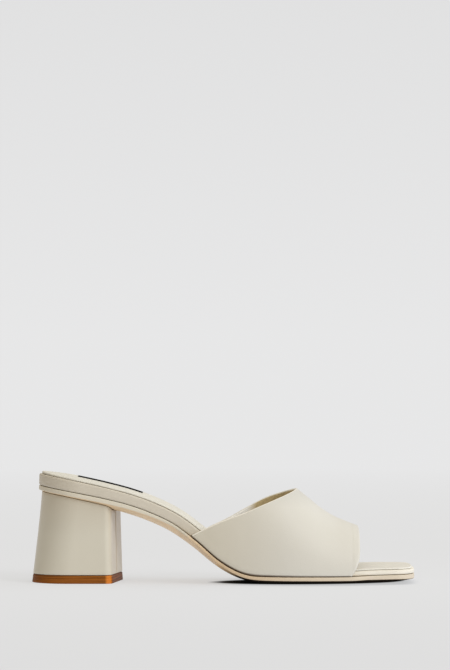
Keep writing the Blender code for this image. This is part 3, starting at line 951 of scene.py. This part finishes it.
# Span where the band's painted shade at its heel end gives way to its cream
UPPER_SHADE_SPAN = (-0.01, 0.04)
RIDGE_SHADE_SPAN = (0.048, 0.056)
RIDGE_SHADE_TONE = 0.90
FOLD_HIGHLIGHT_TONE = 1.3
LINING_LIT_SPAN = (0.0155, 0.0215)
LINING_LIT_TONE = 1.9
EDGE_PAINT_SPAN = (-0.0235, -0.0205)
EDGE_RIM_SPAN = (0.04, 0.16)
WAIST_SPAN = (-0.030, -0.008)
WAIST_SHADE = (0.79, 0.74, 0.69, 1.0)
FOREFOOT_SPAN = (0.0, 0.04)
FOREFOOT_SHADE = (0.87, 0.86, 0.87, 1.0)
CONTACT_SHADOW_SPAN = (-0.004, 0.010)
CONTACT_SHADOW_RIM_SPAN = (0.02, 0.16)
CONTACT_SHADOW_TONE = (0.012, 0.009, 0.007, 1.0)
SHADOW_LINE_TONE = (0.09, 0.055, 0.03, 1.0)
FOOT_SHADOW_SPAN = (0.02, 0.05)
BREAST_SPAN = (-0.0706, -0.0692)
BREAST_SHADE = (0.83, 0.79, 0.77, 1.0)
LIFT_HIGHLIGHT_MIDDLE = (-0.0713, -0.0205)
LIFT_HIGHLIGHT_SIZE = (0.0028, 0.0045)
LIFT_HIGHLIGHT_TONE = 3.0
LIFT_BREAST_SHADE = (0.65, 0.55, 0.45, 1.0)
SEAM_SHADE_SPAN = (0.0002, 0.0006)
HEEL_TOP_SPAN = (0.030, 0.054)
HEEL_TOP_SHADE = (0.90, 0.87, 0.84, 1.0)
EDGE_TOE_PALE_SPAN = (0.0, 0.085)
WHITE = (1.0, 1.0, 1.0, 1.0)
# What all the smooth leathers share: scales of their patterns and depths of their relief
CLOUD_SCALE = 38.0
SHEEN_SCALE = 150.0
WAVE_SCALE = 60.0
WAVE_DEPTH = 0.0006
CREASE_DEPTH = 0.00012
CREASE_WIDTH = 0.12
PORE_DEPTH = 0.00006
SPECK_TONE = 0.72


class Nodes:
    """Node tree being put together."""

    def __init__(self, owner):
        owner.use_nodes = True
        self.tree = owner.node_tree

    def fill(self, socket, value):
        """Set a socket to a value, or link it to another socket."""
        if isinstance(value, bpy.types.NodeSocket):
            self.tree.links.new(value, socket)
        else:
            socket.default_value = value

    def node(self, kind, operation=None, **inputs):
        """New node with its inputs filled."""
        made = self.tree.nodes.new(kind)
        if operation:
            made.operation = operation
        for key, value in inputs.items():
            self.fill(made.inputs[key.replace("_", " ")], value)
        return made

    def joined(self, kind, operation, first, second):
        """Node that works on two values."""
        made = self.node(kind, operation)
        self.fill(made.inputs[0], first)
        self.fill(made.inputs[1], second)
        return made

    def span(self, value, low, high, start=0.0, end=1.0):
        """Value from low to high brought to start to end."""
        return self.node("ShaderNodeMapRange", Value=value, From_Min=low, From_Max=high,
                         To_Min=start, To_Max=end).outputs["Result"]

    def mix(self, share, first, second, blend="MIX"):
        """Mix of two colours by a share."""
        made = self.tree.nodes.new("ShaderNodeMix")
        made.data_type = "RGBA"
        made.blend_type = blend
        for value, index in ((share, 0), (first, 6), (second, 7)):
            self.fill(made.inputs[index], value)
        return made.outputs[2]


class Finish(Nodes):
    """Material being put together."""

    def __init__(self, name, roughness, coat=0.0, gloss=0.5):
        self.material = bpy.data.materials.new(name)
        super().__init__(self.material)
        self.shader = self.tree.nodes["Principled BSDF"]
        self.shader.inputs["Roughness"].default_value = roughness
        self.shader.inputs["Coat Weight"].default_value = coat
        self.shader.inputs["Coat Roughness"].default_value = 0.3
        self.shader.inputs["Specular IOR Level"].default_value = gloss
        self.place = self.node("ShaderNodeTexCoord").outputs["Object"]

    def link(self, output, name):
        """Link to a socket of the shader."""
        self.tree.links.new(output, self.shader.inputs[name])

    def stretched(self, scale):
        """Object coordinates scaled by three factors."""
        return self.node("ShaderNodeMapping", Vector=self.place, Scale=scale).outputs["Vector"]

    def along(self, axis, span, start=0.0, end=1.0):
        """Value that goes from start to end over a span of an axis."""
        split = self.node("ShaderNodeSeparateXYZ", Vector=self.place)
        return self.span(split.outputs[axis], *span, start, end)

    def layer(self, name):
        """Value that the piece's mesh carries."""
        made = self.node("ShaderNodeAttribute")
        made.attribute_name = name
        return made.outputs["Fac"]

    def reach(self, middle, size, turn=0.0):
        """Distance in plan from a middle, in half sizes of an oval."""
        flat = self.node("ShaderNodeMapping", Vector=self.place)
        flat.vector_type = "TEXTURE"
        flat.inputs["Location"].default_value = (*middle, 0.0)
        flat.inputs["Rotation"].default_value = (0.0, 0.0, turn)
        flat.inputs["Scale"].default_value = (*size, 1.0)
        made = self.node("ShaderNodeVectorMath", "LENGTH", Vector=flat.outputs["Vector"])
        return made.outputs["Value"]

    def product(self, first, second):
        """Two values multiplied."""
        return self.joined("ShaderNodeMath", "MULTIPLY", first, second).outputs["Value"]

    def noise(self, scale, detail=2.0, rough=0.5, vector=None):
        """Noise between 0 and 1."""
        return self.node("ShaderNodeTexNoise", Vector=vector or self.place, Scale=scale,
                         Detail=detail, Roughness=rough).outputs["Fac"]

    def creases(self, scale):
        """Leather grain: 0 in the creases between its cells and 1 away from them."""
        made = self.node("ShaderNodeTexVoronoi", Vector=self.place, Scale=scale)
        made.feature = "DISTANCE_TO_EDGE"
        return self.span(made.outputs["Distance"], 0.0, CREASE_WIDTH)

    def bump(self, height, strength, distance, onto=None):
        """Bump from a height, laid over another bump."""
        made = self.node("ShaderNodeBump", Height=height, Strength=strength, Distance=distance)
        if onto is not None:
            self.tree.links.new(onto, made.inputs["Normal"])
        return made.outputs["Normal"]

    def mottled(self, pattern, colour, dark, light, low=0.3, high=0.7):
        """Colour that a pattern takes from a darker to a lighter tone."""
        return self.mix(self.span(pattern, low, high), tone(colour, dark), tone(colour, light))

    def shaded(self, base, share, shade):
        """Base, multiplied by a shade where the share is 1."""
        return self.mix(1.0, base, self.mix(share, WHITE, shade), "MULTIPLY")


def tone(colour, factor=1.0):
    """Colour made lighter or darker, with its alpha."""
    return (*[min(1.0, c * factor) for c in colour], 1.0)


def leather(name, colour, toe, roughness, coat, grain_scale, grain, fleck=0.0, gloss=0.5,
            toe_light_span=TOE_LIGHT_SPAN):
    """Smooth finished leather: fine grain, pores and, where a toe colour is given, painted light
    and shade that turn it to that colour towards the toe.
    """
    finish = Finish(name, roughness, coat, gloss)
    base = finish.mottled(finish.noise(CLOUD_SCALE, 3.0), colour, 0.975, 1.02)
    # Painted light and shade along the shoe: the colour turns to the toe colour towards the toe
    if toe is not None:
        base = finish.mix(finish.along("X", toe_light_span), base, tone(toe))
    specks = finish.span(finish.noise(grain_scale * 1.7, 2.0, 0.6), 0.35, 0.75, 0.0, fleck)
    finish.base = finish.mix(specks, base, tone(colour, SPECK_TONE))
    finish.link(finish.base, "Base Color")
    sheen = finish.noise(SHEEN_SCALE, 3.0)
    finish.link(finish.span(sheen, 0.3, 0.7, roughness - 0.04, roughness + 0.05), "Roughness")
    relief = finish.bump(finish.creases(grain_scale), grain, CREASE_DEPTH)
    relief = finish.bump(finish.noise(grain_scale * 3.0), grain * 0.6, PORE_DEPTH, relief)
    relief = finish.bump(finish.noise(WAVE_SCALE), 0.12, WAVE_DEPTH, relief)
    finish.link(relief, "Normal")
    return finish


def upper_leather(context):
    """Soft cream leather of the band, with painted shade at its heel end and on its top, a painted
    shadow line along its foot and a painted highlight along its topline fold.
    """
    colours = context.scene.sandal_colours
    finish = leather("cream_upper_leather_finish", colours.waist, colours.cream, roughness=0.44,
                     coat=0.05, grain_scale=900.0, grain=0.18, toe_light_span=UPPER_SHADE_SPAN)
    # Painted shadow line along the band's foot, a little weaker towards the toe
    foot = finish.product(finish.layer("foot"), finish.along("X", FOOT_SHADOW_SPAN, 1.0, 0.8))
    # Painted shade on the top of the band
    base = finish.mix(finish.along("Z", RIDGE_SHADE_SPAN), finish.base, tone(colours.cream, RIDGE_SHADE_TONE))
    # Painted highlight on the topline fold
    base = finish.mix(finish.layer("fold"), base, tone(colours.cream, FOLD_HIGHLIGHT_TONE))
    finish.link(finish.mix(foot, base, SHADOW_LINE_TONE), "Base Color")
    return finish.material


def heel_leather(context):
    """The same cream leather drawn tight over the heel, in a darker tone that is painted shade,
    with more painted shade under the sole and on the breast, and a seam down its breast with a
    painted shade line in it.
    """
    colour = context.scene.sandal_colours.heel
    finish = leather("cream_heel_leather_finish", colour, None, roughness=0.34, coat=0.1,
                     grain_scale=900.0, grain=0.14)
    base = finish.shaded(finish.base, finish.along("Z", HEEL_TOP_SPAN), HEEL_TOP_SHADE)
    breast = finish.along("X", BREAST_SPAN)
    base = finish.shaded(base, breast, BREAST_SHADE)
    # Painted shade line in the seam's groove down the breast
    seam = finish.reach((0.0, BREAST_SEAM_Y + SOLE_MIDDLE), (1000.0, 1.0))
    seam = finish.product(finish.span(seam, *SEAM_SHADE_SPAN, 0.6, 0.0), breast)
    finish.link(finish.mix(seam, base, SHADOW_LINE_TONE), "Base Color")
    return finish.material


def footbed_leather(context):
    """Finely grained leather round the footbed's edge, with painted light making it paler towards
    the toe.
    """
    colours = context.scene.sandal_colours
    return leather("footbed_wrap_finish", colours.wrap, colours.wrap_toe_painted_light, roughness=0.50,
                   coat=0.05, grain_scale=1500.0, grain=0.4, fleck=0.15).material


def sock_leather(context):
    """Soft matt leather of the sock, with painted light making it paler towards the toe."""
    colours = context.scene.sandal_colours
    return leather("sock_leather_finish", colours.sock, colours.sock_toe_painted_light, roughness=0.48,
                   coat=0.05, grain_scale=1000.0, grain=0.25, fleck=0.05, gloss=0.25).material


def lining_leather(context):
    """Unfinished leather inside the band, with painted light making it paler towards its back."""
    colours = context.scene.sandal_colours
    finish = Finish("band_lining_finish", 0.65, gloss=0.2)
    nap = finish.noise(700.0, detail=4.0, rough=0.65)
    base = finish.mottled(nap, colours.lining, 0.86, 1.06)
    # Painted light: paler towards the band's back
    pale = finish.along("X", LINING_LIT_SPAN, 1.0, 0.0)
    finish.link(finish.mix(pale, base, tone(colours.cream, LINING_LIT_TONE)), "Base Color")
    finish.link(finish.bump(nap, 0.3, 0.00015), "Normal")
    return finish.material


def patch_foil(context):
    """Matt black blank patch with a fine weave."""
    colour = context.scene.sandal_colours.patch
    finish = Finish("blank_patch_finish", 0.8, gloss=0.0)
    weave = finish.noise(2500.0, vector=finish.stretched((1.0, 3.0, 1.0)))
    finish.link(finish.mix(weave, tone(colour, 0.8), tone(colour, 1.6)), "Base Color")
    finish.link(finish.bump(weave, 0.3, 0.00005), "Normal")
    return finish.material


def outsole_leather(context, name, gloss):
    """Tan sole leather, streaked along the shoe, with a cream painted edge, painted shade at the
    waist and forefoot, and a near-black painted contact shadow on the forefoot's underside.
    """
    colours = context.scene.sandal_colours
    finish = Finish(name, 0.46, 0.14 * gloss, gloss)
    streaks = finish.noise(220.0, detail=4.0, rough=0.6,
                           vector=finish.stretched((0.25, 1.0, 1.0)))
    clouds = finish.noise(55.0, detail=3.0)
    tan = finish.mottled(streaks, colours.tan, 0.88, 1.08)
    tan = finish.mix(finish.span(clouds, 0.35, 0.7, 0.0, 0.35), tan, tone(colours.tan, 0.8))
    # Towards the toe the unpainted edge turns from tan to a paler tone
    toe_pale_share = finish.along("X", EDGE_TOE_PALE_SPAN, 0.75, 0.25)
    bare = finish.mix(toe_pale_share, tone(colours.edge, 1.12), tan)
    edge = finish.mix(finish.along("X", EDGE_PAINT_SPAN), tone(colours.edge), bare)
    height = finish.layer("side")
    sole_base = finish.mix(finish.span(height, *EDGE_RIM_SPAN), tan, edge)
    shade = finish.mix(finish.along("X", FOREFOOT_SPAN), WAIST_SHADE, FOREFOOT_SHADE)
    sole_base = finish.shaded(sole_base, finish.along("X", WAIST_SPAN), shade)
    # Painted contact shadow: near black on the underside ahead of the waist
    contact_shadow = finish.product(finish.span(height, *CONTACT_SHADOW_RIM_SPAN, 1.0, 0.0),
                           finish.along("X", CONTACT_SHADOW_SPAN))
    finish.link(finish.mix(contact_shadow, sole_base, CONTACT_SHADOW_TONE), "Base Color")
    finish.link(finish.span(clouds, 0.3, 0.7, 0.40, 0.52), "Roughness")
    fibre = finish.noise(1500.0, vector=finish.stretched((0.4, 1.0, 1.0)))
    finish.link(finish.bump(fibre, 0.25, 0.0001), "Normal")
    return finish.material


def stacked_leather(context):
    """Burnished brown top lift, in thin layers, with a painted highlight on its near front corner
    and painted shade on its breast.
    """
    colour = context.scene.sandal_colours.stack
    finish = Finish("stacked_lift_finish", 0.5, gloss=0.12)
    layers = finish.noise(1300.0, detail=3.0, rough=0.6,
                          vector=finish.stretched((0.015, 0.015, 1.0)))
    base = finish.mottled(layers, colour, 0.55, 1.3, low=0.35, high=0.65)
    # Painted highlight on the lift's near front corner
    corner = finish.span(finish.reach(LIFT_HIGHLIGHT_MIDDLE, LIFT_HIGHLIGHT_SIZE), 0.5, 1.0, 0.8, 0.0)
    base = finish.mix(corner, base, tone(colour, LIFT_HIGHLIGHT_TONE))
    base = finish.shaded(base, finish.along("X", BREAST_SPAN), LIFT_BREAST_SHADE)
    finish.link(base, "Base Color")
    finish.link(finish.bump(layers, 0.3, 0.0001), "Normal")
    return finish.material


# The floor: how it is seen near and far, how much of that is glow, and the painted contact shadows
# where the shoe stands
FLOOR_REACH = 60.0
FLOOR_GLOW = 0.68
FLOOR_SEEN = (0.772, 0.774, 0.776)
NEAR_FLOOR = 0.92
NEAR_FLOOR_SPAN = (-0.6, -0.1)
FAR_FLOOR_SPAN = (0.35, 2.0)
CONTACT_SHADOW_EDGE_SPAN = (0.92, 1.08)
FLOOR_SHADOW_TONE = 0.1
# Middle, half sizes and turn of each painted contact-shadow patch under the shoe
CONTACT_SHADOW_PATCHES = (
    ((0.053, 0.0015), (0.059, 0.0265), math.atan(0.12)),
    ((-0.0955, 0.0), (0.018, 0.018), 0.0),
)
ROOM_SEEN = (0.80, 0.80, 0.803, 1.0)
ROOM_SEEN_HIGH = (0.755, 0.755, 0.757, 1.0)
ROOM_SEEN_SPAN = (0.0, 0.09)
KEY_PLACE = (3.0, -2.8, 1.8)
KEY_SIZE = 2.0
TOP_PLACE = (0.2, -0.7, 3.0)
TOP_SIZE = 1.8
LIGHT_AIM = Vector((0.0, 0.0, 0.03))
CAMERA_X = 0.00127


def backdrop_paper(context):
    """Plain pale floor: it glows evenly, to meet the room, but not where the shoe stands, where a
    dark patch is painted as its contact shadow.
    """
    colour = context.scene.sandal_colours.floor
    finish = Finish("pale_floor", 0.85, gloss=0.0)
    distance = finish.reach((0.0, 0.0), (1.0, 1.0))
    far = finish.span(distance, *FAR_FLOOR_SPAN)
    glow = finish.span(distance, *FAR_FLOOR_SPAN, FLOOR_GLOW, 1.0)
    open_floor = finish.product(*[finish.span(finish.reach(*shadow_patch), *CONTACT_SHADOW_EDGE_SPAN)
                                  for shadow_patch in CONTACT_SHADOW_PATCHES])
    seen = finish.mix(finish.along("Y", NEAR_FLOOR_SPAN), tone(FLOOR_SEEN, NEAR_FLOOR),
                      tone(FLOOR_SEEN))
    finish.link(finish.mix(far, seen, ROOM_SEEN), "Emission Color")
    finish.link(finish.product(glow, open_floor), "Emission Strength")
    lit = finish.mix(far, tone(colour, 1 - FLOOR_GLOW), tone(colour, 0.0))
    # Painted contact shadow: dark floor colour under the shoe
    finish.link(finish.mix(open_floor, tone(colour, FLOOR_SHADOW_TONE), lit), "Base Color")
    return finish.material


def room_light(context):
    """Pale room: light from everywhere, and more from some sides, each with its own colour."""
    settings = context.scene.sandal_stage
    world = bpy.data.worlds.new("room")
    room = Nodes(world)
    place = room.node("ShaderNodeTexCoord").outputs["Generated"]
    even = settings.room_even
    total = room.node("ShaderNodeCombineXYZ", X=even[0], Y=even[1], Z=even[2]).outputs[0]
    sides = (
        ((1.0, 0.0, 0.0), settings.room_toe),
        ((0.0, -1.0, 0.0), settings.room_front),
        ((0.0, 1.0, 0.0), settings.room_behind),
        ((0.0, 0.0, 1.0), settings.room_above),
    )
    for direction, colour in sides:
        towards = room.joined("ShaderNodeVectorMath", "DOT_PRODUCT", place, direction)
        ahead = room.joined("ShaderNodeMath", "MAXIMUM", towards.outputs["Value"], 0.0)
        share = room.node("ShaderNodeVectorMath", "SCALE", Vector=colour, Scale=ahead.outputs[0])
        total = room.joined("ShaderNodeVectorMath", "ADD", total, share.outputs[0]).outputs[0]
    lit = room.tree.nodes["Background"]
    room.fill(lit.inputs["Color"], total)

    height = room.node("ShaderNodeSeparateXYZ", Vector=place).outputs["Z"]
    wall = room.mix(room.span(height, *ROOM_SEEN_SPAN), ROOM_SEEN, ROOM_SEEN_HIGH)
    seen = room.node("ShaderNodeBackground", Color=wall)
    both = room.node("ShaderNodeMixShader")
    path = room.node("ShaderNodeLightPath")
    for index, output in enumerate((path.outputs["Is Camera Ray"], lit.outputs[0],
                                    seen.outputs[0])):
        room.fill(both.inputs[index], output)
    room.fill(room.tree.nodes["World Output"].inputs["Surface"], both.outputs[0])
    context.scene.world = world


def area_light(name, place, size, power):
    """Square soft light aimed at the shoe."""
    data = bpy.data.lights.new(name, "AREA")
    data.size = size
    data.energy = power
    light = new_object(name, data)
    light.location = place
    light.rotation_euler = (LIGHT_AIM - Vector(place)).to_track_quat("-Z", "Y").to_euler()


class SANDAL_OT_stage(FinishOperator, bpy.types.Operator):
    """Pale seamless floor and backdrop, soft lights and the camera"""
    bl_idname = "sandal.stage"
    bl_label = "Stage, light and camera"

    def execute(self, context):
        settings = context.scene.sandal_stage
        shape = bmesh.new()
        bmesh.ops.create_grid(shape, x_segments=4, y_segments=4, size=FLOOR_REACH)
        mesh = bpy.data.meshes.new("floor")
        shape.to_mesh(mesh)
        shape.free()
        mesh.materials.append(backdrop_paper(context))
        floor = new_object("floor", mesh)
        context.scene.view_settings.view_transform = "Standard"

        room_light(context)
        area_light("key", KEY_PLACE, KEY_SIZE, settings.key_power)
        area_light("top", TOP_PLACE, TOP_SIZE, settings.top_power)

        camera = new_object("camera", bpy.data.cameras.new("camera"))
        camera.data.sensor_width = 36.0
        camera.data.lens = settings.lens
        camera.data.clip_start = 0.05
        camera.data.clip_end = 200.0
        camera.location = (CAMERA_X, -settings.distance, settings.height)
        camera.rotation_euler = (math.pi / 2, 0.0, 0.0)
        context.scene.camera = camera
        return {"FINISHED"}


class SANDAL_PT_panel(bpy.types.Panel):
    """Sizes, colours and steps of the sandal's finish"""
    bl_idname = "SANDAL_PT_panel"
    bl_label = "Mule Sandal"
    bl_space_type = "VIEW_3D"
    bl_region_type = "UI"
    bl_category = "Sandal"

    def draw(self, context):
        for name in ("sandal_sizes", "sandal_colours", "sandal_stage"):
            group = getattr(context.scene, name)
            box = self.layout.box()
            for key in group.__annotations__:
                box.prop(group, key)
        for operator in PIECES:
            self.layout.operator(operator.bl_idname)


PIECES = (
    SANDAL_OT_stage,
    SANDAL_OT_outsole,
    SANDAL_OT_footbed,
    SANDAL_OT_sock,
    SANDAL_OT_patch,
    SANDAL_OT_upper,
    SANDAL_OT_heel,
    SANDAL_OT_lift,
)
GROUPS = (SandalSizes, SandalColours, StageSettings)


def register():
    """Register the classes and hang the settings on the scene."""
    for group in GROUPS:
        bpy.utils.register_class(group)
    for operator in PIECES:
        bpy.utils.register_class(operator)
    bpy.utils.register_class(SANDAL_PT_panel)
    bpy.types.Scene.sandal_sizes = PointerProperty(type=SandalSizes)
    bpy.types.Scene.sandal_colours = PointerProperty(type=SandalColours)
    bpy.types.Scene.sandal_stage = PointerProperty(type=StageSettings)


def unregister():
    """Take the settings and classes away again."""
    del bpy.types.Scene.sandal_stage
    del bpy.types.Scene.sandal_colours
    del bpy.types.Scene.sandal_sizes
    bpy.utils.unregister_class(SANDAL_PT_panel)
    for operator in reversed(PIECES):
        bpy.utils.unregister_class(operator)
    for group in reversed(GROUPS):
        bpy.utils.unregister_class(group)


def main():
    """Build every piece."""
    register()
    bpy.ops.sandal.stage()
    bpy.ops.sandal.outsole()
    bpy.ops.sandal.footbed()
    bpy.ops.sandal.sock()
    bpy.ops.sandal.patch()
    bpy.ops.sandal.upper()
    bpy.ops.sandal.heel()
    bpy.ops.sandal.lift()


if __name__ == "__main__":
    main()
